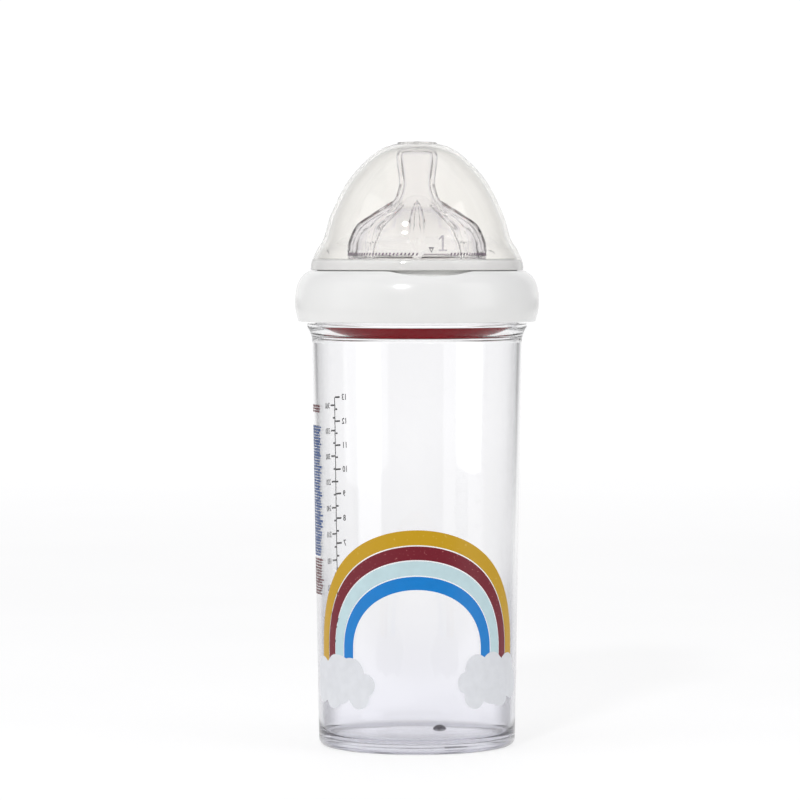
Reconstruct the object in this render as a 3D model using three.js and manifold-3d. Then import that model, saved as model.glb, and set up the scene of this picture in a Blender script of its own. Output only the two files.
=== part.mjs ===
// Wide-neck feeding bottle: bottle, sealing disc, silicone teat, screw collar and dome cap.
// Millimetres, +Z up. The origin is the centre of the foot ring, on the surface it stands on.
// Angles run counter-clockwise seen from above, from the front of the bottle, which faces -Y.
import * as THREE from 'three';
import { mergeVertices } from 'three/addons/utils/BufferGeometryUtils.js';
import Module from 'manifold-3d';

const wasm = await Module();
wasm.setup();

const SEGMENTS = 40;              // facets round every turned surface
const GAP = 0.3;                  // between two pieces that touch when the bottle is closed
const MERGE_TOLERANCE = 1e-4;

// Bottle
const FOOT_RADIUS = 33.05;        // outside radius of the wall just above the base corner
const FOOT_CORNER = 2.5;
const FOOT_RING_WIDTH = 1.6;
const PUNT_HEIGHT = 1.8;          // rise of the underside at its centre
const PUNT_RADIUS = 22;           // the underside is nearly flat out to here
const PUNT_DROP = 0.4;            // and has dropped this far there
const FLOOR_THICKNESS = 2.4;
const FLOOR_EDGE_RADIUS = 27.5;   // the moat round the floor inside is lowest here
const FLOOR_EDGE_Z = 3.1;
const SHOULDER_RADIUS = 35.25;    // outside radius of the wall just under the flange
const SHOULDER_Z = 135.4;
const WALL = 1.5;
const FLANGE_RADIUS = 36.95;
const FLARE_Z = 140.7;            // the flare ends here and the flange's upright edge starts
const FLANGE_TOP_Z = 141.8;
const FLANGE_CHAMFER = 0.2;
const NECK_RADIUS = 34;
const NECK_CHAMFER = 0.6;         // between the flange and the neck
const BORE_RADIUS = 32.85;
const BORE_Z = 141.5;             // height where the cove inside the shoulder runs into the bore
const COVE_Z = 137.9;             // height of the cove's lower edge, on the inside of the wall
const RIM_Z = 155.5;
const RIM_CHAMFER = 0.3;

// Screw thread, right-handed with one start
const PITCH = 5;
const THREAD_TURNS = 1.25;
const THREAD_Z = 146;             // centre of the bottle's ridge where it starts
const THREAD_DEPTH = 1.1;
const THREAD_ROOT_WIDTH = 2.5;
const THREAD_CREST_WIDTH = 1;
const THREAD_SINK = 0.4;          // how far a ridge is rooted in its wall
const THREAD_RUN_OUT = Math.PI / 9;
const THREAD_OFFSET = 1.7;        // the collar's ridge lies this far below the bottle's

// Sealing disc
const SEAL_RADIUS = 30.6;         // the disc's boss and the teat's flange are equally wide
const DISC_RIM = 1.1;
const DISC_RIM_RADIUS = 33.3;
const DISC_BOSS = 1.9;            // the raised ring on its rim, under the teat's flange
const DISC_BOSS_WALL = 1.2;
const DISC_DEPTH = 12.4;          // from the bottle's rim to the underside of the dish
const DISC_FLOOR = 1.2;
const DISC_CHAMFER = 0.6;
const DISC_DISH_RADIUS = BORE_RADIUS - 0.4;

// Teat
const TEAT_FLANGE = 2;
const TEAT_WALL = 1.8;
const TEAT_GROOVE_RADIUS = 22.9;
const TEAT_HOLE_RADIUS = 0.4;
const TEAT_TIP_RADIUS = 3.2;
const RIB_COUNT = 8;
const RIB_WIDTH = 4.7;
const RIB_HEIGHT = 0.5;           // how far a rib stands proud

// Collar
const PLATE = 1.8;                // the top plate round the teat
const COLLAR_RADIUS = 41;
const COLLAR_Z = 142.5;           // lower edge of the outer shell
const SKIRT_RADIUS = 35.6;        // inside radius of the threaded skirt
const SKIRT_WALL = 1.6;
const STEP_RADIUS = 33.7;         // the recess inside the collar that clears the disc's rim
const STEP_Z = 157.2;
const MOUTH_RADIUS = 23.7;
const LEDGE_Z = 159.5;            // where the cap's rim sits
const SPIGOT_RADIUS = 33.5;       // the stub that the cap's rim goes round
const SPIGOT_HEIGHT = 1.6;        // its upright wall
const SPIGOT_SLOPE = 0.4;         // the slope on top of that wall
const SPIGOT_STEP = 1;            // how far the slope runs in
const MOUTH_CHAMFER = 0.5;
const RECESS_ANGLE = THREE.MathUtils.degToRad(7.5);
const RECESS_DEPTH = 1.6;
const RECESS_RADIUS = 60;

// Cap
const CAP_WALL = 1.2;
const CAP_BEAD_RADIUS = SPIGOT_RADIUS + 0.4;
const CAP_FOOT_RADIUS = 34.6;     // inner edge of the face the cap stands on

// Stack of pieces on the bottle's rim
const DISC_Z = RIM_Z + GAP;
const TEAT_Z = DISC_Z + DISC_RIM + DISC_BOSS + GAP;
const PLATE_Z = TEAT_Z + TEAT_FLANGE + GAP;
const COLLAR_TOP_Z = PLATE_Z + PLATE;
const CAP_Z = LEDGE_Z + GAP;

const vec = (radius, z) => new THREE.Vector2(radius, z);

// Points of a circular arc in a profile, centre (radius, z), angles in degrees from +radius.
function arc(centreRadius, centreZ, size, from, to, steps) {
  const start = THREE.MathUtils.degToRad(from);
  const end = THREE.MathUtils.degToRad(to);
  return new THREE.EllipseCurve(centreRadius, centreZ, size, size, start, end, to < from).getPoints(steps);
}

// A profile moved sideways by a distance, to the left of the way it runs.
function offset(points, distance) {
  return points.map((point, i) => {
    const before = points[Math.max(i - 1, 0)];
    const after = points[Math.min(i + 1, points.length - 1)];
    const along = after.clone().sub(before).normalize();
    return vec(point.x - along.y * distance, point.y + along.x * distance);
  });
}

// A profile of (radius, z) points turned about the Z axis. It runs up the outside of the piece.
function turned(profile) {
  return new THREE.LatheGeometry(profile, SEGMENTS).rotateX(Math.PI / 2);
}

// A profile that closes on itself, turned about the Z axis.
const turnedRing = (profile) => turned([...profile, profile[0].clone()]);

function toSolid(geometry) {
  const bare = geometry.clone();
  bare.deleteAttribute('normal');
  bare.deleteAttribute('uv');
  const merged = mergeVertices(bare, MERGE_TOLERANCE);
  const corners = [];
  for (let i = 0; i < merged.index.count; i += 3) {
    const [a, b, c] = merged.index.array.slice(i, i + 3);
    if (a !== b && b !== c && c !== a) corners.push(a, b, c);
  }
  const vertProperties = merged.attributes.position.array;
  const triVerts = new Uint32Array(corners);
  return new wasm.Manifold(new wasm.Mesh({ numProp: 3, vertProperties, triVerts }));
}

function toGeometry(solid) {
  const mesh = solid.getMesh();
  const geometry = new THREE.BufferGeometry();
  geometry.setAttribute('position', new THREE.BufferAttribute(mesh.vertProperties, 3));
  geometry.setIndex(new THREE.BufferAttribute(mesh.triVerts, 1));
  return geometry;
}

// One helical ridge on a wall. side is 1 on the outside of a wall and -1 on the inside of one.
// A straight bar is bent round the axis: its x becomes height, its y depth and its z the angle.
function threadRidge(wallRadius, depth, startZ, side) {
  const root = THREAD_ROOT_WIDTH / 2;
  const crest = THREAD_CREST_WIDTH / 2;
  const section = new THREE.Shape([
    vec(-root, -THREAD_SINK), vec(root, -THREAD_SINK), vec(crest, depth), vec(-crest, depth),
  ]);
  const sweep = THREAD_TURNS * 2 * Math.PI;
  const steps = THREAD_TURNS * SEGMENTS;
  const bar = new THREE.ExtrudeGeometry(section, { depth: sweep, steps, bevelEnabled: false });
  const position = bar.attributes.position;
  for (let i = 0; i < position.count; i += 1) {
    const angle = side > 0 ? position.getZ(i) : sweep - position.getZ(i);
    const fade = Math.min(1, angle / THREAD_RUN_OUT, (sweep - angle) / THREAD_RUN_OUT);
    const height = position.getY(i);
    const radius = wallRadius + side * (height > 0 ? height * fade : height);
    const z = startZ + position.getX(i) + PITCH * angle / (2 * Math.PI);
    position.setXYZ(i, radius * Math.sin(angle), -radius * Math.cos(angle), z);
  }
  return toSolid(bar);
}

function material(color, roughness, opacity = 1) {
  return new THREE.MeshStandardMaterial({
    color, roughness, metalness: 0, opacity, transparent: opacity < 1,
  });
}

function piece(name, geometry, look) {
  geometry.computeVertexNormals();
  const mesh = new THREE.Mesh(geometry, look);
  mesh.name = name;
  return mesh;
}

function bottle() {
  const ringRadius = FOOT_RADIUS - FOOT_CORNER;
  const draft = (SHOULDER_RADIUS - FOOT_RADIUS) / (SHOULDER_Z - FOOT_CORNER);
  const wallRadius = (z) => FOOT_RADIUS + (z - FOOT_CORNER) * draft - WALL;

  // The flare is one arc that leaves the wall upright and ends under the flange's edge.
  const flareRise = FLARE_Z - SHOULDER_Z;
  const flareWidth = FLANGE_RADIUS - SHOULDER_RADIUS;
  const flareAngle = THREE.MathUtils.radToDeg(2 * Math.atan(flareWidth / flareRise));
  const flareRadius = (flareRise ** 2 + flareWidth ** 2) / (2 * flareWidth);

  // The cove is one arc too. It leaves the bore upright and ends on the inside of the wall.
  const coveRise = BORE_Z - COVE_Z;
  const coveWidth = wallRadius(COVE_Z) - BORE_RADIUS;
  const coveAngle = THREE.MathUtils.radToDeg(2 * Math.atan(coveWidth / coveRise));
  const coveRadius = (coveRise ** 2 + coveWidth ** 2) / (2 * coveWidth);

  const profile = [
    vec(0, PUNT_HEIGHT),
    vec(PUNT_RADIUS, PUNT_HEIGHT - PUNT_DROP),
    vec(ringRadius - FOOT_RING_WIDTH, 0),
    ...arc(ringRadius, FOOT_CORNER, FOOT_CORNER, -90, 0, 3),
    ...arc(SHOULDER_RADIUS + flareRadius, SHOULDER_Z, flareRadius, 180, 180 - flareAngle, 3),
    vec(FLANGE_RADIUS, FLANGE_TOP_Z - FLANGE_CHAMFER),
    vec(FLANGE_RADIUS - FLANGE_CHAMFER, FLANGE_TOP_Z),
    vec(NECK_RADIUS + NECK_CHAMFER, FLANGE_TOP_Z),
    vec(NECK_RADIUS, FLANGE_TOP_Z + NECK_CHAMFER),
    vec(NECK_RADIUS, RIM_Z - RIM_CHAMFER),
    vec(NECK_RADIUS - RIM_CHAMFER, RIM_Z),
    vec(BORE_RADIUS + RIM_CHAMFER, RIM_Z),
    vec(BORE_RADIUS, RIM_Z - RIM_CHAMFER),
    ...arc(BORE_RADIUS + coveRadius, BORE_Z, coveRadius, 180, 180 + coveAngle, 3),
    vec(wallRadius(6.5), 6.5),
    vec(wallRadius(4.5) - 1, 4.2),
    vec(FLOOR_EDGE_RADIUS, FLOOR_EDGE_Z),
    vec(PUNT_RADIUS, PUNT_HEIGHT + FLOOR_THICKNESS - PUNT_DROP),
    vec(0, PUNT_HEIGHT + FLOOR_THICKNESS),
  ];
  const ridge = threadRidge(NECK_RADIUS, THREAD_DEPTH, THREAD_Z, 1);
  return toGeometry(toSolid(turned(profile)).add(ridge));
}

// A dish hung from the rim of the bottle's mouth. Its datum is the underside of its rim.
function sealingDisc() {
  const top = DISC_RIM + DISC_BOSS;
  const inside = SEAL_RADIUS - DISC_BOSS_WALL;
  return turned([
    vec(0, -DISC_DEPTH),
    vec(DISC_DISH_RADIUS - DISC_CHAMFER, -DISC_DEPTH),
    vec(DISC_DISH_RADIUS, DISC_CHAMFER - DISC_DEPTH),
    vec(DISC_DISH_RADIUS, 0),
    vec(DISC_RIM_RADIUS, 0),
    vec(DISC_RIM_RADIUS, DISC_RIM),
    vec(SEAL_RADIUS, DISC_RIM),
    vec(SEAL_RADIUS, top),
    vec(inside, top),
    vec(inside, DISC_FLOOR - DISC_DEPTH),
    vec(0, DISC_FLOOR - DISC_DEPTH),
  ]);
}

// The visible outside of the teat, from above the collar to the rounded edge of its tip.
const teatOutline = new THREE.SplineCurve([
  vec(23.3, 4.5), vec(22.2, 9.5), vec(20.6, 13.9), vec(18.5, 16.4), vec(14, 19.3), vec(10.4, 21.4),
  vec(7.97, 23.8), vec(6.66, 26.5), vec(6.05, 30.1), vec(6.8, 36.7), vec(6.9, 39.2),
  vec(5.8, 41.3), vec(TEAT_TIP_RADIUS, 42),
]);

// One raised rib: a slice of a slightly larger teat, cut to the outline of a lens.
function teatRib(shell, angle) {
  const low = 5.6;
  const high = 23.6;
  const middle = (low + high) / 2;
  const lens = new THREE.Shape();
  lens.moveTo(0, low);
  lens.quadraticCurveTo(RIB_WIDTH, middle, 0, high);
  lens.quadraticCurveTo(-RIB_WIDTH, middle, 0, low);
  const options = { depth: SEAL_RADIUS, bevelEnabled: false, curveSegments: 4 };
  const cutter = new THREE.ExtrudeGeometry(lens, options);
  cutter.rotateX(Math.PI / 2);
  cutter.rotateZ(angle);
  return shell.intersect(toSolid(cutter));
}

function teat() {
  const outer = teatOutline.getPoints(20);
  const inner = offset(teatOutline.getPoints(12), TEAT_WALL).reverse();
  const boreRadius = TEAT_GROOVE_RADIUS - TEAT_WALL;
  const tipInside = inner[0].y;
  const body = toSolid(turnedRing([
    vec(boreRadius, 0),
    vec(SEAL_RADIUS, 0),
    vec(SEAL_RADIUS, TEAT_FLANGE),
    vec(TEAT_GROOVE_RADIUS, TEAT_FLANGE),
    ...outer,
    vec(TEAT_HOLE_RADIUS, outer.at(-1).y),
    vec(TEAT_HOLE_RADIUS, tipInside),
    ...inner,
  ]));
  const face = teatOutline.getPoints(12).filter((point) => point.y < 27);
  const proud = offset(face, -RIB_HEIGHT);
  const sunk = offset(face, TEAT_WALL / 2).reverse();
  const shell = toSolid(turnedRing([...proud, ...sunk]));
  let ribbed = body;
  for (let i = 0; i < RIB_COUNT; i += 1) {
    ribbed = ribbed.add(teatRib(shell, (i * 2 * Math.PI) / RIB_COUNT));
  }
  return toGeometry(ribbed);
}

// The shallow scoop in the ledge where a thumb lifts the cap.
function thumbRecess() {
  const reach = COLLAR_RADIUS;
  const scoop = new THREE.CylinderGeometry(RECESS_RADIUS, RECESS_RADIUS, reach, 96);
  scoop.translate(0, -SPIGOT_RADIUS - GAP - reach / 2, LEDGE_Z - RECESS_DEPTH + RECESS_RADIUS);
  scoop.rotateZ(RECESS_ANGLE);
  return toSolid(scoop);
}

function collar() {
  const skirtOuter = SKIRT_RADIUS + SKIRT_WALL;
  const seat = SEAL_RADIUS + 0.6;
  const face = new THREE.SplineCurve([
    vec(39.9, COLLAR_Z), vec(40.8, 146.3), vec(COLLAR_RADIUS, 149.9), vec(40.7, 153),
    vec(39.9, 155.8), vec(38.4, 158), vec(36.5, LEDGE_Z),
  ]);
  const profile = [
    vec(39, COLLAR_Z),
    ...face.getPoints(11),
    vec(SPIGOT_RADIUS, LEDGE_Z),
    vec(SPIGOT_RADIUS, LEDGE_Z + SPIGOT_HEIGHT),
    vec(SPIGOT_RADIUS - SPIGOT_STEP, LEDGE_Z + SPIGOT_HEIGHT + SPIGOT_SLOPE),
    vec(SPIGOT_RADIUS - SPIGOT_STEP, COLLAR_TOP_Z),
    vec(MOUTH_RADIUS + MOUTH_CHAMFER, COLLAR_TOP_Z),
    vec(MOUTH_RADIUS, COLLAR_TOP_Z - MOUTH_CHAMFER),
    vec(MOUTH_RADIUS, PLATE_Z),
    vec(seat, PLATE_Z),
    vec(seat, STEP_Z),
    vec(STEP_RADIUS, STEP_Z),
    vec(STEP_RADIUS, RIM_Z + 0.4),
    vec(SKIRT_RADIUS, RIM_Z + 0.4),
    vec(SKIRT_RADIUS, COLLAR_Z + 0.4),
    vec(skirtOuter, COLLAR_Z + 0.4),
    vec(skirtOuter, 151.5),
    vec(37.6, 152.6),
    vec(38.6, 151.8),
    vec(39, 149.9),
    vec(38.2, COLLAR_Z + 0.4),
  ];
  const ridge = threadRidge(SKIRT_RADIUS, THREAD_DEPTH + 0.1, THREAD_Z - THREAD_OFFSET, -1);
  const shell = toSolid(turnedRing(profile));
  return toGeometry(shell.add(ridge).subtract(thumbRecess()));
}

// The outside of the cap, from its rim to its top.
const capOutline = new THREE.SplineCurve([
  vec(35.8, 0), vec(35.45, 2.7), vec(33.7, 6.7), vec(31.4, 10.7), vec(28.9, 18.8),
  vec(23.4, 29.6), vec(16.2, 37.6), vec(9.4, 41.7), vec(0, 43.2),
]);

function cap() {
  const outer = capOutline.getPoints(18);
  const inner = offset(capOutline.getPoints(14), CAP_WALL).slice(2, -1).reverse();
  const apex = capOutline.getPoint(1);
  return turned([
    vec(0, apex.y - CAP_WALL),
    ...inner,
    vec(CAP_BEAD_RADIUS, 1.4),
    vec(CAP_BEAD_RADIUS, 0.4),
    vec(CAP_FOOT_RADIUS, 0),
    ...outer,
  ]);
}

const root = new THREE.Group();

const bottlePiece = piece('bottle', bottle(), material(0xeef1f3, 0.08, 0.3));

const discPiece = piece('sealing_disc', sealingDisc(), material(0x8c2a34, 0.4));
discPiece.position.z = DISC_Z;

const teatPiece = piece('teat', teat(), material(0xe6e4e2, 0.25, 0.55));
teatPiece.position.z = TEAT_Z;

const collarPiece = piece('collar', collar(), material(0xf4f4f2, 0.25));

const capPiece = piece('cap', cap(), material(0xefece6, 0.12, 0.4));
capPiece.position.z = CAP_Z;

root.add(bottlePiece, discPiece, teatPiece, collarPiece, capPiece);

export default root;
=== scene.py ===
import math
import random

import bpy
from mathutils import Matrix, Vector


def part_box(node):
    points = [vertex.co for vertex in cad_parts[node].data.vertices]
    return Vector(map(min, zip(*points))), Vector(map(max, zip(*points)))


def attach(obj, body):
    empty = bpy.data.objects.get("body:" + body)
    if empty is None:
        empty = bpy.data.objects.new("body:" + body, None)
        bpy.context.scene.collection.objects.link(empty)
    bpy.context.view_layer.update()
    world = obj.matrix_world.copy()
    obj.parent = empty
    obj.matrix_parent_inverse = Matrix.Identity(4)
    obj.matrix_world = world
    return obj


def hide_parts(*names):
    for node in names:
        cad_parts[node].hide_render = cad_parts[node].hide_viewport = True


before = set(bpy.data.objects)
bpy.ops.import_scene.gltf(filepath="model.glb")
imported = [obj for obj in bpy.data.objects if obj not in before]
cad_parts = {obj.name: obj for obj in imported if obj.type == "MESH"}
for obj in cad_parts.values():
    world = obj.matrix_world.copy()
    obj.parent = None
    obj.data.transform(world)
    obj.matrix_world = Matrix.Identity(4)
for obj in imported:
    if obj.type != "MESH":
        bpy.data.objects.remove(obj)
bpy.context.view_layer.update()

MM = 0.001
TURN = 2 * math.pi
SEED = 7

# Bottle, in millimetres
FOOT_RADIUS = 33.05
FOOT_CORNER = 2.5
SHOULDER_RADIUS = 35.25
SHOULDER_Z = 135.4
WALL = 1.5
FLANGE_RADIUS = 36.95
FLARE_Z = 140.7
FLANGE_TOP_Z = 141.8
NECK_RADIUS = 34.0
BORE_RADIUS = 32.85
BORE_Z = 141.5
SHOULDER_BEND_Z = 137.9
RIM_Z = 155.5
RIM_GAP = 0.3
DISC_DEPTH = 12.4
RIDGE_FOOT_Z = 143.1
RIDGE_TOP_Z = 154.5

# Screw thread
PITCH = 5.0
THREAD_TURNS = 1.25
THREAD_Z = 146.0
THREAD_DEPTH = 1.1
THREAD_ROOT = 1.05
THREAD_CREST = 0.5
THREAD_OFFSET = 1.7
THREAD_RUN_OUT = math.radians(20)

# Collar and cap
SKIRT_RADIUS = 35.6
STEP_RADIUS = 33.7
STEP_Z = 157.2
MOUTH_RADIUS = 23.7
SPIGOT_RADIUS = 33.5
SEAL_RADIUS = 30.6
DISC_RADIUS = 33.3
RECESS_ANGLE = math.radians(7.5)
RECESS_DEPTH = 1.6
RECESS_RADIUS = 60.0
CAP_WALL = 1.2

# Teat
TEAT_WALL = 1.8
RIB_COUNT = 8
RIB_WIDTH = 4.7
RIB_HEIGHT = 0.8

# Studio
FRONT_LIGHT = (0.14, 0.14, 0.155)
SIDE_LIGHT = (0.42, 0.42, 0.44)
BACK_LIGHT = (1.06, 1.06, 1.06)
# Floor glow, painted light from the floor's emission: its strength near, far, in front and aside, and
# where it changes.
FLOOR_GLOW_NEAR = 0.725
FLOOR_GLOW_FAR = 0.87
FLOOR_GLOW_FRONT = 0.2
FLOOR_GLOW_START = -0.3
FLOOR_GLOW_END = -0.135
FLOOR_GLOW_REACH = (0.1, 2.5)
FLOOR_GLOW_ASIDE = 0.3
FLOOR_SPREAD = (0.14, 0.4)
FLOOR_HALF_WIDTH = 30
SIDE_BLEND = (-0.6, 0.1)
BACK_BLEND = (0.62, 0.86)
AIM_Z = 0.1

# Camera at the photograph's angle: lens and sensor in millimetres, place in metres, angles in degrees
CAMERA_LENS = 186.7
CAMERA_SENSOR = 36
CAMERA_PLACE = (0, -1.394, 0.1678)
CAMERA_TILT = 2.126
CAMERA_YAW = 0.235

# Where the bottle's reflections fade into the shoulder
QUIET_START_Z = 136.5
QUIET_END_Z = 137.5
QUIET_REFLECTION = 0.2
BOTTLE_REFLECTION = 0.8

# Printed film
FILM_GAP = 0.02
FILM_THICKNESS = 0.05
FILM_STEP = 0.8


def foot(node):
    """Lowest height of a CAD node, in millimetres."""
    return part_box(node)[0].z / MM


def top(node):
    """Highest height of a CAD node, in millimetres."""
    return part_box(node)[1].z / MM


DISC_TOP_Z = top("sealing_disc")
DISC_FOOT_Z = RIM_Z + RIM_GAP - DISC_DEPTH
TEAT_Z = foot("teat")
COLLAR_Z = foot("collar")
COLLAR_TOP_Z = top("collar")
COLLAR_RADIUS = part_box("collar")[1].x / MM
CAP_Z = foot("cap")
PLATE_Z = COLLAR_TOP_Z - 1.8
LEDGE_Z = CAP_Z - 0.3


# ---------------------------------------------------------------------------------------------
# Outlines: lists of (radius, height) points that run up the outside of a piece
# ---------------------------------------------------------------------------------------------

def mix(a, b, t):
    return a + (b - a) * t


def spline(points, steps):
    """A smooth curve through the points, with the same number of steps between each pair."""
    out = []
    for i in range(len(points) - 1):
        p0, p1, p2 = points[max(i - 1, 0)], points[i], points[i + 1]
        p3 = points[min(i + 2, len(points) - 1)]
        for k in range(steps):
            t = k / steps
            out.append(tuple(
                0.5 * (2 * b + (c - a) * t + (2 * a - 5 * b + 4 * c - d) * t * t
                       + (3 * b - a - 3 * c + d) * t ** 3)
                for a, b, c, d in zip(p0, p1, p2, p3)))
    return out + [tuple(points[-1])]


def arc(centre, size, start, end, steps):
    """A circular arc about centre, from start to end degrees, counted from +radius."""
    angles = (math.radians(mix(start, end, k / steps)) for k in range(steps + 1))
    return [(centre[0] + size * math.cos(a), centre[1] + size * math.sin(a)) for a in angles]


def straight(start, end, steps):
    return [tuple(mix(a, b, k / steps) for a, b in zip(start, end)) for k in range(steps + 1)]


def rounded(corners, steps=4):
    """A closed or open run of (radius, height, rounding) corners, with the corners rounded off."""
    out = []
    last = len(corners) - 1
    for i, (r, z, size) in enumerate(corners):
        if size == 0 or i in (0, last):
            out.append((r, z))
            continue
        ends = []
        for j in (i - 1, i + 1):
            dr, dz = corners[j][0] - r, corners[j][1] - z
            share = min(size / math.hypot(dr, dz), 0.49)
            ends.append((r + dr * share, z + dz * share))
        for k in range(steps + 1):
            t = k / steps
            out.append(tuple(
                (1 - t) ** 2 * a + 2 * t * (1 - t) * b + t * t * c
                for a, b, c in zip(ends[0], (r, z), ends[1])))
    return out


def normals(points, closed):
    """The direction that points out of the piece at each point of an outline."""
    out = []
    count = len(points)
    for i in range(count):
        before = points[i - 1] if closed or i else points[0]
        after = points[(i + 1) % count] if closed or i < count - 1 else points[-1]
        dr, dz = after[0] - before[0], after[1] - before[1]
        length = math.hypot(dr, dz) or 1.0
        out.append((dz / length, -dr / length))
    return out


def moved(points, distance):
    """An outline moved inwards by a distance."""
    return [(r - n[0] * distance, z - n[1] * distance)
            for (r, z), n in zip(points, normals(points, False))]


# ---------------------------------------------------------------------------------------------
# Meshes
# ---------------------------------------------------------------------------------------------

def place(angle, radius, height):
    return (radius * math.sin(angle) * MM, -radius * math.cos(angle) * MM, height * MM)


def mesh_object(name, points, faces, sharp=35):
    mesh = bpy.data.meshes.new(name)
    mesh.from_pydata(points, [], faces)
    mesh.validate()
    mesh.shade_smooth()
    mesh.set_sharp_from_angle(angle=math.radians(sharp))
    obj = bpy.data.objects.new(name, mesh)
    bpy.context.scene.collection.objects.link(obj)
    return obj


def revolve(name, outline, segments, relief=None, trim=None):
    """A closed skin: the outline turned about Z. An end on the axis becomes one point.
    relief(angle, radius, height) raises the skin, and trim(angle, radius, height) gives a new height."""
    closed = outline[0][0] > 1e-6
    outward = normals(outline, closed)
    points, rows, faces = [], [], []
    for (r, z), (nr, nz) in zip(outline, outward):
        if r < 1e-6:
            rows.append([len(points)] * segments)
            points.append((0, 0, z * MM))
            continue
        rows.append(list(range(len(points), len(points) + segments)))
        for j in range(segments):
            angle = TURN * j / segments
            lift = relief(angle, r, z) if relief else 0.0
            radius, height = r + nr * lift, z + nz * lift
            if trim:
                height = trim(angle, radius, height)
            points.append(place(angle, radius, height))
    pairs = list(zip(rows, rows[1:]))
    if closed:
        pairs.append((rows[-1], rows[0]))
    for low, high in pairs:
        for j in range(segments):
            k = (j + 1) % segments
            corner = [low[j], low[k], high[k], high[j]]
            faces.append([c for i, c in enumerate(corner) if c not in corner[:i]])
    return mesh_object(name, points, faces)


def film(name, points, faces, surface, thickness=FILM_THICKNESS):
    """A closed thin layer on a surface. points are (along, height) and surface(along, height, lift)
    places them."""
    inner = [surface(u, z, FILM_GAP) for u, z in points]
    outer = [surface(u, z, FILM_GAP + thickness) for u, z in points]
    count = len(points)
    used = {}
    for face in faces:
        for a, b in zip(face, face[1:] + face[:1]):
            used[(a, b)] = used.get((a, b), 0) + 1
    rim = [(a, b) for (a, b) in used if (b, a) not in used]
    skin = [[i + count for i in face] for face in faces]
    skin += [list(reversed(face)) for face in faces]
    skin += [[a, b, b + count, a + count] for a, b in rim]
    return mesh_object(name, inner + outer, skin)


def wall_radius(z):
    return mix(FOOT_RADIUS, SHOULDER_RADIUS, (z - FOOT_CORNER) / (SHOULDER_Z - FOOT_CORNER))


def on_wall(along, height, lift):
    """A point printed on the bottle: along is the distance round the wall from the front."""
    radius = wall_radius(height)
    return place(along / radius, radius + lift, height)


def on_outline(outline):
    """The same for a piece turned from an outline that only rises."""
    def surface(along, height, lift):
        radius = outline[-1][0]
        for (r0, z0), (r1, z1) in zip(outline, outline[1:]):
            if z0 <= height <= z1:
                radius = mix(r0, r1, (height - z0) / (z1 - z0))
                break
        return place(along / radius, radius + lift, height)
    return surface


# ---------------------------------------------------------------------------------------------
# Materials
# ---------------------------------------------------------------------------------------------

def principled(name, **values):
    """A node material and its main shader. Values are set by the shader's socket names."""
    material = bpy.data.materials.new(name)
    material.use_nodes = True
    shader = material.node_tree.nodes["Principled BSDF"]
    for key, value in values.items():
        shader.inputs[key.replace("_", " ")].default_value = value
    return material, shader


def noise(tree, scale, detail=3.0, stretch=(1, 1, 1)):
    """Noise in the object's own space; scale is in features per metre."""
    coords = tree.nodes.new("ShaderNodeTexCoord")
    mapping = tree.nodes.new("ShaderNodeMapping")
    mapping.inputs["Scale"].default_value = stretch
    texture = tree.nodes.new("ShaderNodeTexNoise")
    texture.inputs["Scale"].default_value = scale
    texture.inputs["Detail"].default_value = detail
    tree.links.new(coords.outputs["Object"], mapping.inputs["Vector"])
    tree.links.new(mapping.outputs["Vector"], texture.inputs["Vector"])
    return texture.outputs["Fac"]


def ranged(tree, value, low, high, start=0.3, end=0.7):
    """A noise value stretched to run from low to high."""
    node = tree.nodes.new("ShaderNodeMapRange")
    tree.links.new(value, node.inputs["Value"])
    for key, number in (("From Min", start), ("From Max", end), ("To Min", low), ("To Max", high)):
        node.inputs[key].default_value = number
    return node.outputs["Result"]


def coordinate(tree, space, axis):
    """One coordinate of the shaded point, or of the direction in a world."""
    coords = tree.nodes.new("ShaderNodeTexCoord")
    split = tree.nodes.new("ShaderNodeSeparateXYZ")
    tree.links.new(coords.outputs[space], split.inputs["Vector"])
    return split.outputs[axis]


def stepped(tree, value, start, end, low, high):
    """A smooth step from low to high as a value goes from start to end."""
    node = tree.nodes.new("ShaderNodeMapRange")
    node.interpolation_type = "SMOOTHSTEP"
    tree.links.new(value, node.inputs["Value"])
    for key, number in (("From Min", start), ("From Max", end), ("To Min", low), ("To Max", high)):
        node.inputs[key].default_value = number
    return node.outputs["Result"]


def arithmetic(tree, operation, *values):
    node = tree.nodes.new("ShaderNodeMath")
    node.operation = operation
    for value, socket in zip(values, node.inputs):
        if isinstance(value, (int, float)):
            socket.default_value = value
        else:
            tree.links.new(value, socket)
    return node.outputs["Value"]


def bumped(tree, shader, height, strength, distance):
    bump = tree.nodes.new("ShaderNodeBump")
    bump.inputs["Strength"].default_value = strength
    bump.inputs["Distance"].default_value = distance
    tree.links.new(height, bump.inputs["Height"])
    tree.links.new(bump.outputs["Normal"], shader.inputs["Normal"])


def tinted(tree, shader, factor, low, high):
    """Base colour that runs between two colours with a factor."""
    ramp = tree.nodes.new("ShaderNodeMix")
    ramp.data_type = "RGBA"
    ramp.inputs["A"].default_value = (*low, 1)
    ramp.inputs["B"].default_value = (*high, 1)
    tree.links.new(factor, ramp.inputs["Factor"])
    tree.links.new(ramp.outputs["Result"], shader.inputs["Base Color"])


def clear(name, low, high, ior, roughness, transmission, ripple, reflection=1.0):
    """Clear plastic or silicone: faint flow ripples, slightly uneven gloss and tint."""
    material, shader = principled(
        name, IOR=ior, Transmission_Weight=transmission, Specular_Tint=(reflection,) * 3 + (1,))
    tree = material.node_tree
    tinted(tree, shader, ranged(tree, noise(tree, 60), 0, 1), low, high)
    uneven = ranged(tree, noise(tree, 900, 4), roughness, roughness * 2.2)
    tree.links.new(uneven, shader.inputs["Roughness"])
    bumped(tree, shader, noise(tree, 90, 1.0, (1, 1, 0.35)), ripple, 0.0004)
    return material


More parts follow.
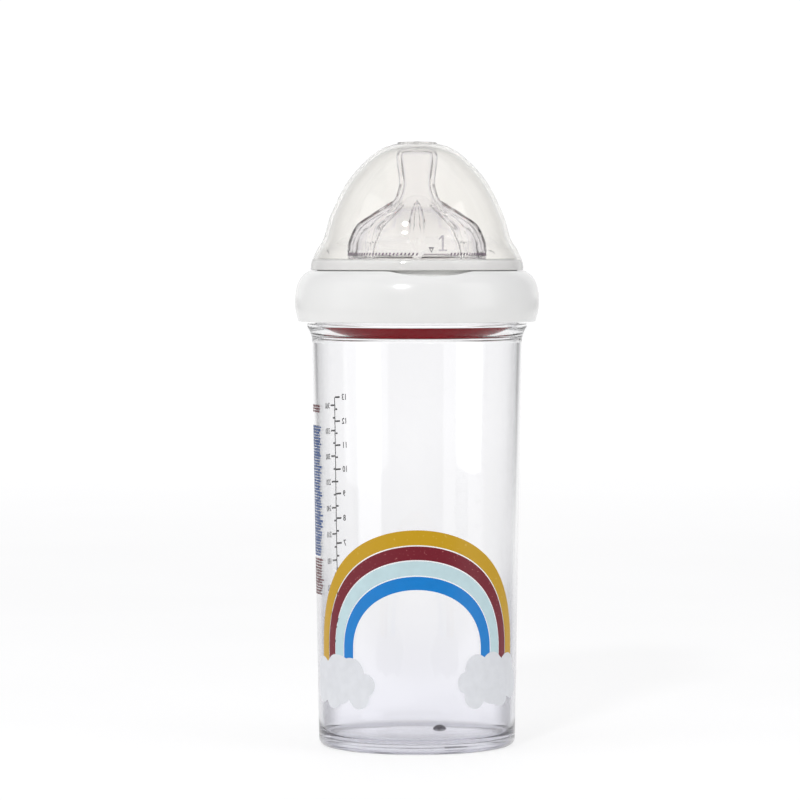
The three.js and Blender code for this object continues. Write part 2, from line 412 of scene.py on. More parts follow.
def quiet_shoulder(material):
    """Weakens the reflections of the bottle's shoulder, which would veil the disc seen through it."""
    tree = material.node_tree
    height = coordinate(tree, "Object", "Z")
    step = stepped(
        tree, height, QUIET_START_Z * MM, QUIET_END_Z * MM, BOTTLE_REFLECTION, QUIET_REFLECTION)
    tree.links.new(step, tree.nodes["Principled BSDF"].inputs["Specular Tint"])


def hazy(material, start, end, clarity):
    """Makes a clear wall milky in its thick foot, below a height."""
    tree = material.node_tree
    weight = tree.nodes["Principled BSDF"].inputs["Transmission Weight"]
    height = coordinate(tree, "Object", "Z")
    tree.links.new(stepped(tree, height, start * MM, end * MM, clarity, weight.default_value), weight)


def shaded(material, factor, shade):
    """Runs the material's colour over to a shade as a factor goes from 0 to 1."""
    tree = material.node_tree
    colour = tree.nodes["Principled BSDF"].inputs["Base Color"]
    mixed = tree.nodes.new("ShaderNodeMix")
    mixed.data_type = "RGBA"
    tree.links.new(colour.links[0].from_socket, mixed.inputs["A"])
    mixed.inputs["B"].default_value = (*shade, 1)
    tree.links.new(factor, mixed.inputs["Factor"])
    tree.links.new(mixed.outputs["Result"], colour)


def darker_edge(material, low, high, shade, heights=None):
    """Painted shade: darkens a clear wall's colour where it is seen edge on, standing in for the darker
    reflections and refractions at its edges.
    Four heights limit the tint: it comes in between the first two and fades out between the last two."""
    tree = material.node_tree
    facing = tree.nodes.new("ShaderNodeLayerWeight")
    facing.inputs["Blend"].default_value = 0.5
    factor = stepped(tree, facing.outputs["Facing"], low, high, 0.0, 1.0)
    if heights:
        height = coordinate(tree, "Object", "Z")
        rise = stepped(tree, height, heights[0] * MM, heights[1] * MM, 0.0, 1.0)
        fade = stepped(tree, height, heights[2] * MM, heights[3] * MM, 1.0, 0.0)
        factor = arithmetic(tree, "MULTIPLY", factor, arithmetic(tree, "MULTIPLY", rise, fade))
    shaded(material, factor, shade)


def darker_foot(material, height, shade):
    """Painted shade: darkens a clear wall's colour towards the bottom, fully at height 0 and not at all
    from the given height up.
    """
    tree = material.node_tree
    shaded(material, stepped(tree, coordinate(tree, "Object", "Z"), 0, height * MM, 1.0, 0.0), shade)


def moulded(name, low, high, roughness, grain, specular=0.5):
    """Opaque moulded plastic with a fine skin."""
    material, shader = principled(name, IOR=1.5, Specular_IOR_Level=specular)
    tree = material.node_tree
    tinted(tree, shader, ranged(tree, noise(tree, 45), 0, 1), low, high)
    uneven = ranged(tree, noise(tree, 700, 4), roughness * 0.85, roughness * 1.25)
    tree.links.new(uneven, shader.inputs["Roughness"])
    bumped(tree, shader, noise(tree, 1600, 3), grain, 0.00005)
    return material


def ink(name, colour, fleck=None, fleck_size=900):
    """Screen-printed ink: a little uneven, slightly glossy, with pale flecks if fleck is a colour."""
    material, shader = principled(name, IOR=1.48, Specular_IOR_Level=0.45)
    tree = material.node_tree
    shade = tuple(c * 0.93 for c in colour)
    if fleck:
        specks = ranged(tree, noise(tree, fleck_size, 2), 0, 1, 0.66, 0.72)
        tinted(tree, shader, specks, colour, fleck)
    else:
        tinted(tree, shader, ranged(tree, noise(tree, 300), 0, 1), shade, colour)
    tree.links.new(ranged(tree, noise(tree, 1500), 0.3, 0.42), shader.inputs["Roughness"])
    bumped(tree, shader, noise(tree, 2500, 2), 0.15, 0.00002)
    return material


def srgb(*values):
    """A colour given as 0 to 255 screen values, made linear."""
    out = []
    for value in values:
        c = value / 255
        out.append(c / 12.92 if c <= 0.04045 else ((c + 0.055) / 1.055) ** 2.4)
    return tuple(out)


BOTTLE_CLEAR = clear(
    "bottle_clear", (0.99, 0.99, 0.995), (0.995, 0.995, 1.0), 1.52, 0.003, 1.0, 0.003, BOTTLE_REFLECTION)
quiet_shoulder(BOTTLE_CLEAR)
# Painted shade: the bottle's colour is darkened towards the bottom, to lavender-grey in its lowest 4 mm.
darker_foot(BOTTLE_CLEAR, 60, (0.92, 0.92, 0.955))
darker_foot(BOTTLE_CLEAR, 4, (0.66, 0.66, 0.76))
# Painted shade: the bottle's wall is darkened where it is seen edge on, most of all low on the wall.
darker_edge(BOTTLE_CLEAR, 0.58, 0.75, (0.87, 0.87, 0.88))
darker_edge(BOTTLE_CLEAR, 0.35, 0.65, (0.45, 0.45, 0.48), (4.5, 7, 35, 75))
hazy(BOTTLE_CLEAR, 2.5, 5, 0.8)
CAP_CLEAR = clear(
    "cap_clear", (0.99, 0.98, 0.955), (0.995, 0.985, 0.965), 1.48, 0.01, 0.965, 0.004, 0.6)
# Painted shade: the cap is darkened where it is seen edge on, down to a grey line at its outline.
darker_edge(CAP_CLEAR, 0.35, 0.85, (0.83, 0.825, 0.8))
darker_edge(CAP_CLEAR, 0.72, 0.92, (0.42, 0.42, 0.42))
hazy(CAP_CLEAR, COLLAR_TOP_Z - 0.4, COLLAR_TOP_Z + 0.4, 0.2)
SILICONE = clear(
    "teat_silicone", (0.99, 0.985, 0.99), (0.995, 0.99, 0.995), 1.22, 0.015, 0.99, 0.01, 0.6)
# Painted shade: the teat is darkened to grey-purple where it is seen edge on.
darker_edge(SILICONE, 0.45, 0.72, (0.8, 0.78, 0.86))
COLLAR_WHITE = moulded("collar_white", srgb(243, 243, 241), srgb(247, 247, 245), 0.2, 0.12)
DISC_RED = moulded("disc_red", srgb(160, 26, 38), srgb(170, 30, 42), 0.8, 0.2, 0.02)
MUSTARD = ink("ink_mustard", srgb(198, 155, 16), srgb(210, 174, 70))
BURGUNDY = ink("ink_burgundy", srgb(116, 18, 36), srgb(170, 100, 100), 1400)
PALE_BLUE = ink("ink_pale_blue", srgb(196, 221, 226))
BLUE = ink("ink_blue", srgb(0, 126, 206))
CLOUD_WHITE = ink("ink_white", srgb(224, 226, 230))
SCALE_INK = ink("ink_brown", srgb(30, 20, 18))
PANEL_BLUE = ink("ink_panel_blue", srgb(28, 74, 138))
PANEL_RED = ink("ink_panel_red", srgb(96, 16, 30))
# Painted shade: opaque purple-grey for the teat's grip bars, in place of the shade that shows clear
# raised bars.
GRIP_PAINTED_SHADE = moulded("grip_painted_shade", srgb(144, 122, 146), srgb(162, 140, 164), 0.4, 0.1)
NUMERAL_SILICONE = clear(
    "numeral_silicone", (0.66, 0.64, 0.7), (0.7, 0.68, 0.74), 1.3, 0.05, 0.95, 0.01, 0.6)
MARK_GREY = moulded("mark_grey", srgb(116, 112, 118), srgb(132, 128, 132), 0.35, 0.1)
GATE_GREY = moulded("gate_grey", srgb(96, 92, 102), srgb(120, 116, 126), 0.3, 0.1)


def finish(obj, material, body, slot, *nodes):
    """Gives a piece its material and its body, and hides the CAD nodes that it stands for. The slot is
    not used.
    """
    obj.data.materials.append(material)
    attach(obj, body)
    if nodes:
        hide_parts(*nodes)
    return obj


# ---------------------------------------------------------------------------------------------
# Pieces
# ---------------------------------------------------------------------------------------------

def thread_height(start_z, radius_test):
    """Relief of one helical ridge, on the skin where radius_test is true."""
    sweep = THREAD_TURNS * TURN

    def height(angle, radius, z):
        if not radius_test(radius, z):
            return 0.0
        best = 0.0
        for along in (angle, angle + TURN):
            if along > sweep:
                continue
            away = abs(z - start_z - PITCH * along / TURN)
            rise = (THREAD_ROOT - away) / (THREAD_ROOT - THREAD_CREST)
            fade = min(1.0, along / THREAD_RUN_OUT, (sweep - along) / THREAD_RUN_OUT)
            best = max(best, THREAD_DEPTH * min(1.0, max(0.0, rise)) * fade)
        return best
    return height


def make_bottle():
    ring = FOOT_RADIUS - FOOT_CORNER
    flare_rise, flare_width = FLARE_Z - SHOULDER_Z, FLANGE_RADIUS - SHOULDER_RADIUS
    flare_angle = math.degrees(2 * math.atan(flare_width / flare_rise))
    flare = (flare_rise ** 2 + flare_width ** 2) / (2 * flare_width)
    underside = spline([(0, 1.8), (12, 1.72), (22, 1.4), (27.2, 0.6), (29, 0.1), (ring, 0)], 6)
    underside = [(r, max(z, 0.0)) for r, z in underside]
    corner = arc((ring, FOOT_CORNER), FOOT_CORNER, -90, 0, 10)
    wall = straight((wall_radius(4), 4), (wall_radius(134), 134), 26)
    flange = arc((SHOULDER_RADIUS + flare, SHOULDER_Z), flare, 180, 180 - flare_angle, 12)
    edge = rounded([
        (FLANGE_RADIUS, FLARE_Z + 0.15, 0), (FLANGE_RADIUS, FLANGE_TOP_Z, 0.2),
        (NECK_RADIUS, FLANGE_TOP_Z, 0.5), (NECK_RADIUS, 143.0, 0)])
    neck = straight((NECK_RADIUS, 143.2), (NECK_RADIUS, 154.4), 56)
    rim = rounded([
        (NECK_RADIUS, 154.6, 0), (NECK_RADIUS, RIM_Z, 0.5), (BORE_RADIUS, RIM_Z, 0.5),
        (BORE_RADIUS, 154, 0)])
    inner_end = wall_radius(SHOULDER_BEND_Z) - WALL
    cove_rise, cove_width = BORE_Z - SHOULDER_BEND_Z, inner_end - BORE_RADIUS
    cove_angle = math.degrees(2 * math.atan(cove_width / cove_rise))
    cove = (cove_rise ** 2 + cove_width ** 2) / (2 * cove_width)
    shoulder = [(BORE_RADIUS, 152), (BORE_RADIUS, 146)]
    shoulder += arc((BORE_RADIUS + cove, BORE_Z), cove, 180, 180 + cove_angle * 0.97, 12)
    shoulder += rounded([
        shoulder[-1] + (0,), (inner_end, SHOULDER_BEND_Z, 0.4),
        (wall_radius(137) - WALL, 137, 0)], 6)[1:]
    inside = straight((wall_radius(135) - WALL, 135), (wall_radius(9) - WALL, 9), 24)
    floor = spline([
        (wall_radius(7) - WALL, 7), (31.2, 4.9), (29.8, 3.55), (27.5, 3.1), (22, 3.75), (12, 4.12),
        (0, 4.2)], 6)
    outline = underside + corner[1:] + wall + flange + edge + neck + rim + shoulder + inside + floor

    def on_neck(radius, z):
        return radius > NECK_RADIUS - 0.1 and RIDGE_FOOT_Z < z < RIDGE_TOP_Z

    ridge = thread_height(THREAD_Z, on_neck)
    body = revolve("bottle_body", outline, 256, relief=ridge)
    return finish(body, BOTTLE_CLEAR, "bottle", "bottle_clear", "bottle")


def make_disc():
    dish = BORE_RADIUS - 0.4
    rim_z = RIM_Z + RIM_GAP
    inside = SEAL_RADIUS - 1.2
    wall = 1.2
    outline = rounded([
        (0, DISC_FOOT_Z, 0), (dish, DISC_FOOT_Z, 1.0), (dish, rim_z, 0.3), (DISC_RADIUS, rim_z, 0.3),
        (DISC_RADIUS, rim_z + 1.1, 0.3), (SEAL_RADIUS, rim_z + 1.1, 0.2), (SEAL_RADIUS, DISC_TOP_Z, 0.3),
        (inside, DISC_TOP_Z, 0.4), (inside, DISC_FOOT_Z + wall, 0.8), (0, DISC_FOOT_Z + wall, 0)])
    body = revolve("sealing_disc_red", outline, 192)
    return finish(body, DISC_RED, "teat", "disc_red", "sealing_disc")


def teat_outline(steps):
    """The visible outside of the teat, from above the collar to its tip."""
    points = [
        (23.3, 4.5), (22.2, 9.5), (20.6, 13.9), (18.5, 16.4), (14, 19.3), (10.4, 21.4), (7.97, 23.8),
        (6.66, 26.5), (6.05, 30.1), (6.8, 36.7), (6.9, 39.2), (5.8, 41.3), (3.2, 42)]
    return spline([(r, z + TEAT_Z) for r, z in points], steps)


def rib_height(angle, radius, z):
    """Relief of the lens-shaped ribs on the teat's outside."""
    low, high = TEAT_Z + 5.6, TEAT_Z + 23.8
    share = (z - low) / (high - low)
    if not 0 < share < 1 or radius < 7.4:
        return 0.0
    half = RIB_WIDTH / 2 * (1 - (2 * share - 1) ** 2)
    pitch = TURN / RIB_COUNT
    across = radius * abs((angle + pitch / 2) % pitch - pitch / 2)
    if across >= half:
        return 0.0
    return RIB_HEIGHT * math.sqrt(1 - (across / half) ** 2) * min(1.0, half / 0.8)


def make_teat():
    outer = teat_outline(9)
    inner = moved(teat_outline(6), TEAT_WALL)[::-1]
    tip = outer[-1][1]
    hole = 0.3
    base = rounded([
        (21.1, TEAT_Z + 1.5, 0), (21.1, TEAT_Z, 0.4), (SEAL_RADIUS, TEAT_Z, 0.4),
        (SEAL_RADIUS, TEAT_Z + 2, 0.4), (22.9, TEAT_Z + 2, 0.4), (22.9, TEAT_Z + 4.2, 0)])
    end = [(1.5, tip), (hole, tip), (hole, inner[0][1]), (1.5, inner[0][1])]
    inside = [p for p in inner if p[0] < 21.05]
    outline = base + outer + end + inside

    def ribs(angle, radius, z):
        return rib_height(angle, radius, z) if z > TEAT_Z + 5 else 0.0

    body = revolve("teat_body", outline, 360, relief=ribs)
    return finish(body, SILICONE, "teat", "teat_silicone", "teat")


def make_collar():
    face = spline([
        (39.9, COLLAR_Z + 0.3), (40.8, 146.3), (COLLAR_RADIUS - 0.01, 149.9), (40.7, 153), (39.9, 155.8),
        (38.4, 158), (36.7, LEDGE_Z - 0.2)], 8)
    seat = SEAL_RADIUS + 0.6
    upper = rounded([
        (36.5, LEDGE_Z - 0.05, 0), (36.2, LEDGE_Z, 0.2), (SPIGOT_RADIUS, LEDGE_Z, 0.3),
        (SPIGOT_RADIUS, LEDGE_Z + 1.6, 0.4), (SPIGOT_RADIUS - 1, LEDGE_Z + 1.9, 0.3),
        (SPIGOT_RADIUS - 1, COLLAR_TOP_Z, 0.4), (MOUTH_RADIUS, COLLAR_TOP_Z, 0.5),
        (MOUTH_RADIUS, PLATE_Z, 0.3), (seat, PLATE_Z, 0.3), (seat, STEP_Z, 0.2),
        (STEP_RADIUS, STEP_Z, 0.2), (STEP_RADIUS, RIM_Z + 0.4, 0.2),
        (SKIRT_RADIUS, RIM_Z + 0.4, 0.2), (SKIRT_RADIUS, 155, 0)])
    thread = straight((SKIRT_RADIUS, 154), (SKIRT_RADIUS, 143.4), 53)
    lower = rounded([
        (SKIRT_RADIUS, 143.2, 0), (SKIRT_RADIUS, COLLAR_Z + 0.4, 0.3), (37.2, COLLAR_Z + 0.4, 0.3),
        (37.2, 151.5, 0.5), (37.6, 152.6, 0.3), (38.6, 151.8, 0.4), (39, 149.9, 1.0),
        (38.4, COLLAR_Z, 0.3), (39.7, COLLAR_Z, 0.3), (39.85, COLLAR_Z + 0.25, 0)])
    ledge = []
    for low, high in zip(upper[3:9], upper[4:10]):
        ledge.append(low)
        if high[0] < low[0] - 1:
            ledge += straight(low, high, 6)[1:-1]
    outline = face + upper[:3] + ledge + upper[9:] + thread + lower

    def scoop(angle, radius, z):
        """Lowers the ledge to the floor of the thumb recess."""
        across = radius * math.sin(angle - RECESS_ANGLE)
        if math.cos(angle - RECESS_ANGLE) < 0 or radius < SPIGOT_RADIUS + 0.15 or z < 157:
            return z
        floor = LEDGE_Z - RECESS_DEPTH + RECESS_RADIUS - math.sqrt(RECESS_RADIUS ** 2 - across ** 2)
        return min(z, floor)

    def on_skirt(radius, z):
        return abs(radius - SKIRT_RADIUS) < 0.01 and z < 155

    ridge = thread_height(THREAD_Z - THREAD_OFFSET, on_skirt)
    body = revolve("collar_ring", outline, 256, relief=ridge, trim=scoop)
    return finish(body, COLLAR_WHITE, "collar", "collar_white", "collar")


def cap_outline(steps):
    points = [
        (35.8, 0), (35.45, 2.7), (33.7, 6.7), (31.4, 10.7), (28.9, 18.8), (23.4, 29.6), (16.2, 37.6),
        (9.4, 41.7), (0, 43.2)]
    return spline([(r, z + CAP_Z) for r, z in points], steps)


def make_cap():
    outer = cap_outline(12)
    inner = [p for p in moved(cap_outline(10), CAP_WALL) if p[1] > CAP_Z + 2.2][:-1][::-1]
    rim = rounded([
        (inner[-1][0], CAP_Z + 2, 0), (SPIGOT_RADIUS + 0.4, CAP_Z + 1.3, 0.4),
        (SPIGOT_RADIUS + 0.4, CAP_Z, 0.3), (35.7, CAP_Z, 0.3), (35.79, CAP_Z + 0.25, 0)])
    apex = (0, outer[-1][1] - CAP_WALL)
    outline = [apex] + inner + rim + outer[1:]
    return finish(revolve("cap_dome", outline, 224), CAP_CLEAR, "cap", "cap_clear", "cap")


# The printed arcs: (half width, top height) of each band's outer and inner edge
ARC_FOOT_Z = 34.9
LEG_END_Z = 29.5
BAND_GAP = 0.38
BAND_EDGES = [(39.6, 74.5), (35.1, 69.2), (31.2, 64.3), (26.85, 59.2), (22.8, 54.8)]


def band_edge(half, height):
    """The path of one edge of a band: up a leg, over a half ellipse and down the other leg."""
    rise = height - ARC_FOOT_Z
    angles = [math.pi * k / 96 for k in range(97)]
    over = [(-half * math.cos(a), ARC_FOOT_Z + rise * math.sin(a)) for a in angles]
    return [(-half, LEG_END_Z)] + over + [(half, LEG_END_Z)]


def make_bands():
    inks = [("mustard", MUSTARD), ("burgundy", BURGUNDY), ("pale_blue", PALE_BLUE), ("blue", BLUE)]
    for i, (name, material) in enumerate(inks):
        last = i == len(inks) - 1
        spare = 0.0 if last else BAND_GAP
        outer = band_edge(*BAND_EDGES[i])
        inner = band_edge(BAND_EDGES[i + 1][0] + spare, BAND_EDGES[i + 1][1] + spare)
        across = 5
        points = [tuple(mix(a, b, k / across) for a, b in zip(p, q))
                  for p, q in zip(outer, inner) for k in range(across + 1)]
        width = across + 1
        faces = []
        for row in range(len(outer) - 1):
            for k in range(across):
                a = row * width + k
                faces.append([a, a + 1, a + 1 + width, a + width])
        faces = [face[::-1] for face in faces]
        finish(film("print_band_" + name, points, faces, on_wall), material, "bottle", "print_ink")


# The clouds: circles of (along, height, radius); the first one is the core
CLOUD_LEFT = [
    (-30, 24, 8.3), (-39.8, 26.2, 4.9), (-31.2, 27.3, 5.0), (-24, 26, 5.6), (-18.2, 22.7, 3.9),
    (-20.4, 18.7, 4.0), (-32.5, 18.6, 4.5), (-39.8, 20.6, 5.0)]
CLOUD_RIGHT = [
    (28.5, 24.2, 8.2), (21.3, 28.3, 4.6), (28.2, 28.2, 5.2), (36.8, 27.6, 4.9), (17.8, 23.7, 3.9),
    (20.5, 18.9, 4.0), (32.5, 19.4, 4.5), (39.8, 22, 5.0)]


def make_cloud(name, circles, lift):
    centre = circles[0][:2]
    spokes, rings = 320, 16
    points, faces = [centre], []
    for k in range(spokes):
        angle = TURN * k / spokes
        c, s = math.cos(angle), math.sin(angle)
        reach = 0.0
        for u, z, radius in circles:
            du, dz = u - centre[0], z - centre[1]
            spare = radius ** 2 - (du * s - dz * c) ** 2
            if spare > 0:
                reach = max(reach, du * c + dz * s + math.sqrt(spare))
        for ring in range(1, rings + 1):
            step = reach * ring / rings
            points.append((centre[0] + c * step, centre[1] + s * step))
    for k in range(spokes):
        here, there = 1 + k * rings, 1 + (k + 1) % spokes * rings
        faces.append([0, here, there])
        for ring in range(rings - 1):
            faces.append([here + ring, here + ring + 1, there + ring + 1, there + ring])

    def surface(along, height, film_lift):
        return on_wall(along, height, film_lift + lift)
    finish(film(name, points, faces, surface), CLOUD_WHITE, "bottle", "print_ink")


class Print:
    """Flat shapes gathered as points and faces, to be laid on the wall as one film."""

    def __init__(self):
        self.points, self.faces = [], []

    def bar(self, u0, z0, u1, z1):
        """An upright rectangle, cut into steps short enough to follow the wall."""
        steps = max(1, math.ceil((u1 - u0) / FILM_STEP))
        start = len(self.points)
        for k in range(steps + 1):
            u = mix(u0, u1, k / steps)
            self.points += [(u, z0), (u, z1)]
        for k in range(steps):
            a = start + 2 * k
            self.faces.append([a, a + 2, a + 3, a + 1])

    def shape(self, corners):
        """One flat face through its corners."""
        start = len(self.points)
        self.points += corners
        self.faces.append(list(range(start, len(self.points))))

    def frame(self, outer, inner):
        """The strip between two outlines with the same number of corners."""
        start, count = len(self.points), len(outer)
        self.points += outer + inner
        for i in range(count):
            j = (i + 1) % count
            self.faces.append([start + i, start + j, start + count + j, start + count + i])

    def text(self, words, u, z, height, side):
        """Numerals centred on a height; side -1 ends them at u and 1 starts them there."""
        curve = bpy.data.curves.new("numeral", "FONT")
        curve.body = words
        curve.size = height / 0.7
        curve.resolution_u = 3
        curve.offset = 0.05
        curve.align_x = "LEFT" if side > 0 else "RIGHT"
        holder = bpy.data.objects.new("numeral", curve)
        mesh = bpy.data.meshes.new_from_object(holder)
        start = len(self.points)
        self.points += [(u + v.co.x, z + v.co.y - height / 2) for v in mesh.vertices]
        for polygon in mesh.polygons:
            self.faces.append([start + i for i in polygon.vertices])
        bpy.data.objects.remove(holder)
        bpy.data.curves.remove(curve)
        bpy.data.meshes.remove(mesh)

    def lay(self, name, material, slot, body="bottle", surface=on_wall, thickness=FILM_THICKNESS):
        finish(film(name, self.points, self.faces, surface, thickness), material, body, slot)


SCALE_ANGLE = math.radians(-122.8)
FLUID_OUNCE_ML = 28.413
ML_STEP = 30


def fill_height(volume_ml):
    """Height of the surface when the bottle holds a volume, by stacking thin slices."""
    floor_z = 5.0
    step = 0.1
    z, held = floor_z, 0.0
    while held < volume_ml * 1000:
        held += math.pi * (wall_radius(z) - WALL) ** 2 * step
        z += step
    return z


def make_scale():
    """Volume marks on the back of the wall: fluid ounces on one side of a line, millilitres on the
    other."""
    marks = Print()
    line = 0.5
    lowest, highest = fill_height(2 * FLUID_OUNCE_ML), fill_height(13 * FLUID_OUNCE_ML)

    def at(z):
        return SCALE_ANGLE * wall_radius(z)

    steps = 24
    for k in range(steps):
        z0, z1 = mix(lowest, highest, k / steps), mix(lowest, highest, (k + 1) / steps)
        marks.bar(at(z0) - line / 2, z0, at(z0) + line / 2, z1)
    major, minor, thick = 3.1, 1.5, 0.6
    for number in range(2, 14):
        z = fill_height(number * FLUID_OUNCE_ML)
        marks.bar(at(z) - major, z - thick / 2, at(z) - line / 2, z + thick / 2)
        marks.text(str(number), at(z) - major - 1.1, z, 2.0, -1)
        half = fill_height((number - 0.5) * FLUID_OUNCE_ML)
        if half > lowest:
            marks.bar(at(half) - minor, half - thick / 2, at(half) - line / 2, half + thick / 2)
    for number in range(3, 13):
        z = fill_height(number * ML_STEP)
        marks.bar(at(z) + line / 2, z - thick / 2, at(z) + major, z + thick / 2)
        marks.text(str(number * ML_STEP), at(z) + major + 0.7, z, 1.9, 1)
        half = fill_height((number - 0.5) * ML_STEP)
        marks.bar(at(half) + line / 2, half - thick / 2, at(half) + minor, half + thick / 2)
    marks.lay("print_scale", SCALE_INK, "scale_ink")


def make_panel():
    """A block of fine dashes beside the scale, where a real bottle carries its small print."""
    random.seed(SEED)
    start, end = math.radians(-94), math.radians(-66)
    blocks = [("print_panel_head", PANEL_RED, 114.4, 112.0, 0.9, 0.6),
              ("print_panel_body", PANEL_BLUE, 107.4, 64.0, 0.95, 0.7),
              ("print_panel_foot", PANEL_RED, 63.0, 51.0, 0.95, 0.6)]
    for name, material, high, low, pitch, tall in blocks:
        dashes = Print()
        z = high
        while z > low:
            radius = wall_radius(z)
            u, stop = start * radius, end * radius - random.uniform(0, 3)
            while u < stop:
                long = random.uniform(0.4, 2.2)
                half = tall * random.uniform(0.3, 0.62)
                dashes.bar(u, z - half, min(u + long, stop), z + half)
                u += long + random.uniform(0.15, 0.5)
            z -= pitch
        dashes.lay(name, material, "print_ink")


GRIP_FOOT_Z = 164.5
GRIP_TOP_Z = 165.4
GRIP_BARS = 112
GRIP_PLAIN = (math.radians(3), math.radians(28))
GRIP_REACH = math.radians(100)


def make_grip_ring():
    """A raised row of slanted bars round the front of the teat, with a plain stretch, and above it the
    flow number. The bars and the line in the plain stretch are opaque purple-grey: painted shade in
    place of the shade that shows the clear bars."""
    surface = on_outline(teat_outline(9))
    radius = 23.2
    pitch = TURN * radius / GRIP_BARS
    wide, lean = pitch * 0.42, pitch * 0.35
    grip = Print()
    for k in range(-GRIP_BARS // 2, GRIP_BARS // 2):
        angle = TURN * k / GRIP_BARS
        if GRIP_PLAIN[0] < angle < GRIP_PLAIN[1] or abs(angle) > GRIP_REACH:
            continue
        u = k * pitch - (wide + lean) / 2
        grip.shape([(u, GRIP_FOOT_Z), (u + wide, GRIP_FOOT_Z),
                    (u + wide + lean, GRIP_TOP_Z), (u + lean, GRIP_TOP_Z)])
    middle = (GRIP_FOOT_Z + GRIP_TOP_Z) / 2
    grip.bar(GRIP_PLAIN[0] * radius + 1, middle - 0.12, GRIP_PLAIN[1] * radius - 0.4, middle + 0.12)
    grip.lay("teat_grip_ring", GRIP_PAINTED_SHADE, "teat_silicone", "teat", surface, 0.22)

    number = Print()
    middle = math.radians(22.5) * 22
    stem, half_foot = 0.32, 1.4
    low, high, foot_top = 166.1, 171.2, 166.7
    number.bar(middle - half_foot, low, middle + half_foot, foot_top)
    steps = 5
    for k in range(steps):
        z0, z1 = mix(foot_top, high, k / steps), mix(foot_top, high, (k + 1) / steps)
        number.bar(middle - stem, z0, middle + stem, z1)
    number.shape([(middle - stem - 1.0, high - 1.7), (middle - stem, high - 0.8),
                  (middle - stem, high), (middle - stem - 1.0, high - 1.1)])
    number.lay("teat_numeral", NUMERAL_SILICONE, "teat_silicone", "teat", surface, 0.2)


MARK_COUNT = 3
MARK_ANGLE = math.radians(8)
MARK_Z = 166.5
MARK_SIZE = 0.9


def make_cap_marks():
    """Small triangles round the foot of the cap, and the flat ring at its top."""
    surface = on_outline(cap_outline(12))
    radius = 33.7
    marks = Print()
    for k in range(MARK_COUNT):
        u = (MARK_ANGLE + TURN * k / MARK_COUNT) * radius
        outer, inner = ([(u, MARK_Z - size), (u + size, MARK_Z + size), (u - size, MARK_Z + size)]
                        for size in (MARK_SIZE, MARK_SIZE * 0.45))
        marks.frame(outer, inner)
    marks.lay("cap_marks", MARK_GREY, "cap_clear", "cap", surface, 0.12)

    crown = top("cap")
    ring = rounded([(5.9, crown - 0.75, 0), (6.6, crown - 0.95, 0.1), (6.6, crown - 0.5, 0.15),
                    (5.9, crown - 0.35, 0.15), (5.9, crown - 0.7, 0)])[:-1]
    finish(revolve("cap_top_ring", ring, 96), CAP_CLEAR, "cap", "cap_clear")


GATE_X = 7.7
GATE_Y = 8.0
GATE_Z = 4.0
GATE_RADIUS = 2.3
GATE_HEIGHT = 1.7


def make_gate_mark():
    """The small stub that moulding leaves on the inside of the floor."""
    angles = [math.pi / 2 * k / 8 for k in range(8)]
    dome = [(GATE_RADIUS * math.cos(a), GATE_HEIGHT * math.sin(a)) for a in angles]
    stub = revolve("bottle_gate_mark", [(0, -0.1), (GATE_RADIUS, -0.1)] + dome + [(0, GATE_HEIGHT)], 48)
    stub.data.transform(Matrix.Translation((GATE_X * MM, GATE_Y * MM, GATE_Z * MM)))
    finish(stub, GATE_GREY, "bottle", "bottle_clear")


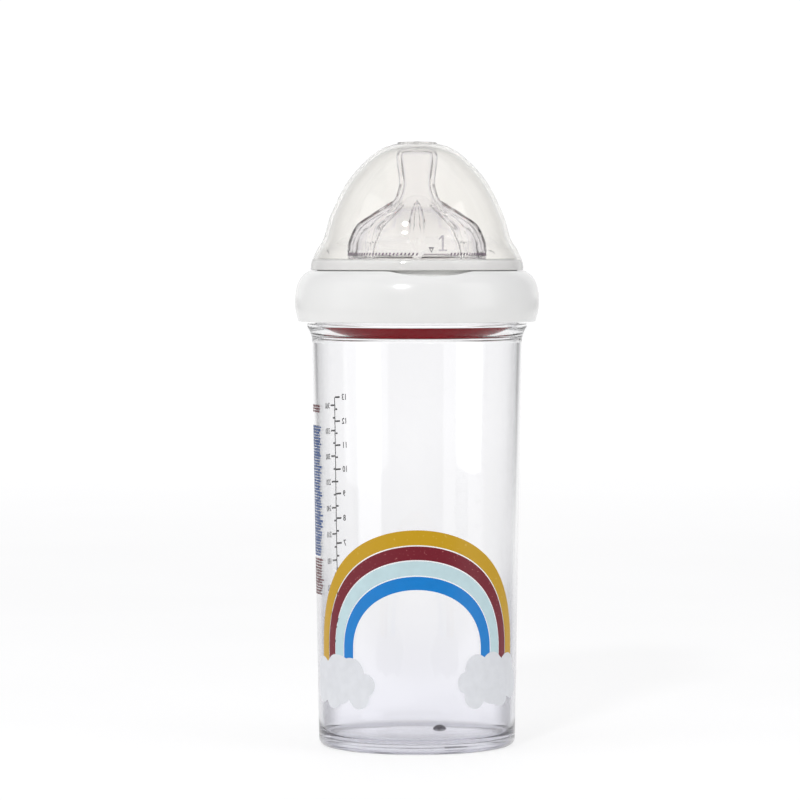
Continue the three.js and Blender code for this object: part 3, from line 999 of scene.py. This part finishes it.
def make_studio():
    """Pale floor that glows, a world that is white behind the bottle and dim in front of it, and soft
    lights.
    """
    scene = bpy.context.scene
    reach = FLOOR_HALF_WIDTH
    corners = [(-reach, -reach, 0), (reach, -reach, 0), (reach, reach, 0), (-reach, reach, 0)]
    floor = mesh_object("floor", corners, [[0, 1, 2, 3]])
    material, shader = principled("floor_paper", Roughness=0.9)
    shader.inputs["Emission Color"].default_value = (1, 1, 1, 1)
    tree = material.node_tree
    tinted(tree, shader, ranged(tree, noise(tree, 8), 0, 1), (0.29, 0.29, 0.29), (0.31, 0.31, 0.31))
    # Painted light: the floor glows by its emission, brightest behind the bottle and dimmer in front of
    # it, to the sides and close to it.
    depth = coordinate(tree, "Object", "Y")
    near = stepped(tree, depth, FLOOR_GLOW_START, FLOOR_GLOW_END, FLOOR_GLOW_FRONT, 1.0)
    aside = arithmetic(tree, "ABSOLUTE", coordinate(tree, "Object", "X"))
    spread = arithmetic(tree, "DIVIDE", aside, arithmetic(tree, "ADD", depth, 1.6))
    fall = stepped(tree, spread, *FLOOR_SPREAD, 1.0, FLOOR_GLOW_ASIDE)
    glow = arithmetic(tree, "MULTIPLY", near, fall)
    squares = [arithmetic(tree, "MULTIPLY", value, value) for value in (depth, aside)]
    distance = arithmetic(tree, "SQRT", arithmetic(tree, "ADD", *squares))
    rise = stepped(tree, distance, *FLOOR_GLOW_REACH, FLOOR_GLOW_NEAR, FLOOR_GLOW_FAR)
    glow = arithmetic(tree, "MULTIPLY", glow, rise)
    tree.links.new(glow, shader.inputs["Emission Strength"])
    floor.data.materials.append(material)

    world = bpy.data.worlds.new("studio")
    scene.world = world
    world.use_nodes = True
    tree = world.node_tree
    background = tree.nodes["Background"]
    depth = coordinate(tree, "Generated", "Y")
    colour = None
    blends = ((*SIDE_BLEND, FRONT_LIGHT, SIDE_LIGHT), (*BACK_BLEND, None, BACK_LIGHT))
    for start, end, low, high in blends:
        blend = tree.nodes.new("ShaderNodeMix")
        blend.data_type = "RGBA"
        if colour:
            tree.links.new(colour, blend.inputs["A"])
        else:
            blend.inputs["A"].default_value = (*low, 1)
        blend.inputs["B"].default_value = (*high, 1)
        tree.links.new(stepped(tree, depth, start, end, 0.0, 1.0), blend.inputs["Factor"])
        colour = blend.outputs["Result"]
    tree.links.new(colour, background.inputs["Color"])

    def softbox(name, azimuth, elevation, distance, width, height, radiance, shape="RECTANGLE"):
        """An area light aimed at the bottle's middle, from an azimuth right of the front."""
        light = bpy.data.lights.new(name, "AREA")
        light.shape = shape
        light.size, light.size_y = width, height
        light.energy = math.pi * width * height * radiance
        lamp = bpy.data.objects.new(name, light)
        scene.collection.objects.link(lamp)
        a, e = math.radians(azimuth), math.radians(elevation)
        lamp.location = (distance * math.sin(a) * math.cos(e), -distance * math.cos(a) * math.cos(e),
                         AIM_Z + distance * math.sin(e))
        lamp.rotation_euler = (math.pi / 2 - e, 0, a)
        return lamp

    softbox("light_left", -60, 12, 1.0, 1.1, 1.4, 0.9)
    softbox("light_right", 60, 12, 1.1, 0.65, 1.4, 1.7)
    softbox("light_front", -16, 33, 1.7, 0.2, 0.11, 130, "ELLIPSE")
    softbox("light_top", 0, 80, 1.2, 1.4, 1.4, 0.4)

    camera = bpy.data.cameras.new("camera")
    camera.lens = CAMERA_LENS
    camera.sensor_width = CAMERA_SENSOR
    eye = bpy.data.objects.new("camera", camera)
    eye.location = CAMERA_PLACE
    eye.rotation_euler = (math.radians(90 - CAMERA_TILT), 0, math.radians(CAMERA_YAW))
    scene.collection.objects.link(eye)
    scene.camera = eye
    scene.view_settings.view_transform = "Standard"
    scene.cycles.max_bounces = 32
    scene.cycles.transmission_bounces = 28
    scene.cycles.glossy_bounces = 8
    scene.cycles.transparent_max_bounces = 16


make_studio()
make_bottle()
make_disc()
make_teat()
make_collar()
make_cap()
make_bands()
make_cloud("print_cloud_left", CLOUD_LEFT, 0.06)
make_cloud("print_cloud_right", CLOUD_RIGHT, 0.06)
make_scale()
make_panel()
make_grip_ring()
make_cap_marks()
make_gate_mark()
